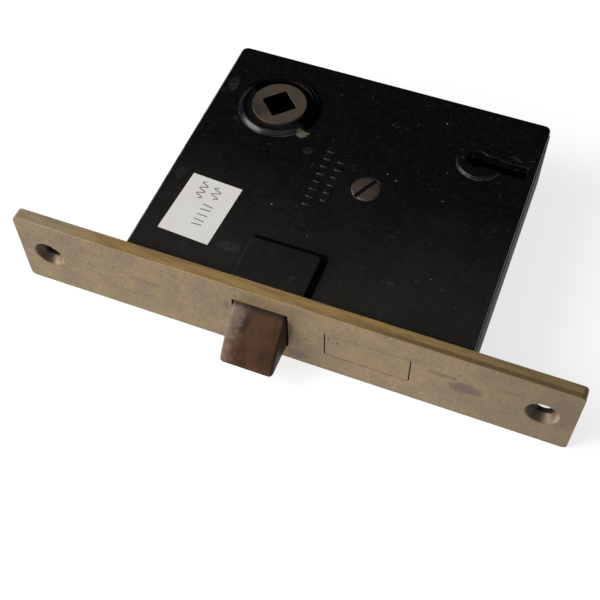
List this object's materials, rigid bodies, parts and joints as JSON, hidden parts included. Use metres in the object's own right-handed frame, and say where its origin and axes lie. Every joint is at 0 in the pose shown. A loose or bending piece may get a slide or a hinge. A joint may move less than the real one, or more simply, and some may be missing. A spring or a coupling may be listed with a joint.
{
  "type": "mortise lock",
  "caption": "Mortise lock with a black cast case and screwed cap, a brass front, a bevelled latch bolt drawn back by a square-holed hub, and a keyed deadbolt behind lever tumblers.",
  "frame": {"origin": "centre of the front's outer face, which lies flush with the door's edge", "axes": "+X along the front from the latch end to the deadbolt end (down on an installed lock), +Y into the door, +Z through the thickness towards the screwed cap"},
  "size_m": [0.168, 0.1034, 0.0278],
  "materials": {
    "black_iron": "black japanned casting, satin gloss, worn on its edges",
    "black_iron_cap": "black japanned casting, satin gloss, scratched and dusty",
    "screw_steel": "darkened steel with a worn head",
    "front_brass": "aged, dull brass with brown stains and a worn arris",
    "hub_bronze": "brown bronze casting, rubbed dull",
    "latch_bronze": "reddish brown bronze, satin, rubbed lighter on one side",
    "deadbolt_brass": "aged, dull brass",
    "inner_steel": "plain steel, lightly oiled",
    "spring_steel": "blued spring steel",
    "tumbler_brass": "plain stamped brass",
    "label_paper": "matt white paper with pen strokes"
  },
  "bodies": {
    "lock_body": {"case": "black_iron", "cap": "black_iron_cap", "cap_screw": "screw_steel", "faceplate": "front_brass", "faceplate_rivets": "front_brass", "retractor_stud": "inner_steel", "tumbler_stud": "inner_steel", "tumbler_spacer": "tumbler_brass", "paper_label": "label_paper", "latch_spring": "spring_steel", "retractor_spring": "spring_steel"},
    "hub": {"hub": "hub_bronze"},
    "retractor": {"retractor_lever": "inner_steel", "retractor_pin": "inner_steel"},
    "latch": {"latch_bolt": "latch_bronze", "latch_strap": "inner_steel", "latch_cross_pin": "inner_steel"},
    "bolt": {"deadbolt": "deadbolt_brass", "deadbolt_stump": "inner_steel"},
    "tumbler_1": {"tumbler_1": "tumbler_brass", "tumbler_spring_1": "spring_steel"},
    "tumbler_2": {"tumbler_2": "tumbler_brass", "tumbler_spring_2": "spring_steel"},
    "tumbler_3": {"tumbler_3": "tumbler_brass", "tumbler_spring_3": "spring_steel"}
  },
  "joints": [
    {"name": "hub_turn", "type": "hinge", "parent": "lock_body", "child": "hub", "pos_m": [-0.0286, 0.0699, 0], "axis": [0, 0, 1], "range_deg": [0, 48.2], "stiffness_Nm_per_rad": 0.05, "springref_deg": -22.92},
    {"name": "retractor_pivot", "type": "hinge", "parent": "lock_body", "child": "retractor", "pos_m": [-0.0425, 0.0825, 0], "axis": [0, 0, 1], "range_deg": [0, 18.35], "stiffness_Nm_per_rad": 0.1, "springref_deg": -17.19, "deforming": ["retractor_spring"]},
    {"name": "latch_slide", "type": "slide", "parent": "lock_body", "child": "latch", "axis": [0, 1, 0], "range_m": [0, 0.0115], "stiffness_N_per_m": 250, "springref_m": -0.012, "deforming": ["latch_spring"]},
    {"name": "deadbolt_slide", "type": "slide", "parent": "lock_body", "child": "bolt", "axis": [0, -1, 0], "range_m": [0, 0.012]},
    {"name": "tumbler_1_pivot", "type": "hinge", "parent": "lock_body", "child": "tumbler_1", "pos_m": [0.0205, 0.038, 0], "axis": [0, 0, 1], "range_deg": [0, 3.05], "stiffness_Nm_per_rad": 0.02, "springref_deg": -5.73, "deforming": ["tumbler_spring_1"]},
    {"name": "tumbler_2_pivot", "type": "hinge", "parent": "lock_body", "child": "tumbler_2", "pos_m": [0.0205, 0.038, 0], "axis": [0, 0, 1], "range_deg": [0, 3.05], "stiffness_Nm_per_rad": 0.02, "springref_deg": -5.73, "deforming": ["tumbler_spring_2"]},
    {"name": "tumbler_3_pivot", "type": "hinge", "parent": "lock_body", "child": "tumbler_3", "pos_m": [0.0205, 0.038, 0], "axis": [0, 0, 1], "range_deg": [0, 3.05], "stiffness_Nm_per_rad": 0.02, "springref_deg": -5.73, "deforming": ["tumbler_spring_3"]}
  ],
  "couplings": [
    {"joint": "hub_turn", "follows": "latch_slide", "rad_per_m": 73.05},
    {"joint": "retractor_pivot", "follows": "latch_slide", "rad_per_m": 27.72},
    {"joint": "tumbler_1_pivot", "follows": "deadbolt_slide", "rad_per_m": 4.3633},
    {"joint": "tumbler_2_pivot", "follows": "deadbolt_slide", "rad_per_m": 4.3633},
    {"joint": "tumbler_3_pivot", "follows": "deadbolt_slide", "rad_per_m": 4.3633}
  ]
}
